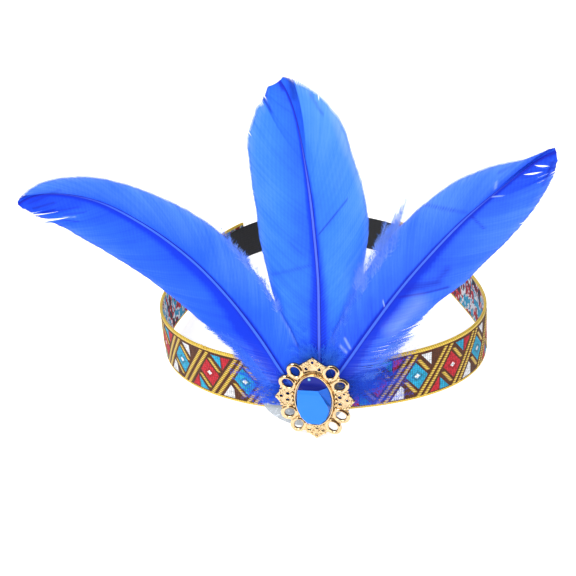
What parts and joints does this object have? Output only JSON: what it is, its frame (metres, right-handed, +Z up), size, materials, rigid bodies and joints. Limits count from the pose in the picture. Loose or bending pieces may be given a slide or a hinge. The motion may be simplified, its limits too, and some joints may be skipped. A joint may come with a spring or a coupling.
{
  "type": "feather headband",
  "caption": "Costume headband: a woven ribbon loop with diamond motifs, an elastic back, blue feathers and a pierced gold brooch with an oval faceted blue stone.",
  "frame": {"origin": "bottom centre of the bounding box, on the surface that the headband rests on", "axes": "+Z up, the brooch and feathers face -Y, +X to the wearer's left, across the spread feathers"},
  "size_m": [0.2118, 0.1928, 0.1498],
  "materials": {
    "ribbon_band": "woven",
    "elastic_back": "knitted",
    "clear_pad": "clear gloss",
    "feather_left": "satin feather",
    "feather_centre": "satin feather",
    "feather_right": "satin feather",
    "brooch_frame": "polished",
    "brooch_stone": "polished facets"
  },
  "bodies": {
    "root": {"ribbon_band": "ribbon_band", "elastic_back": "elastic_back", "clear_pad": "clear_pad", "feather_left": "feather_left", "feather_centre": "feather_centre", "feather_right": "feather_right", "brooch_frame": "brooch_frame", "brooch_stone": "brooch_stone"}
  },
  "joints": []
}
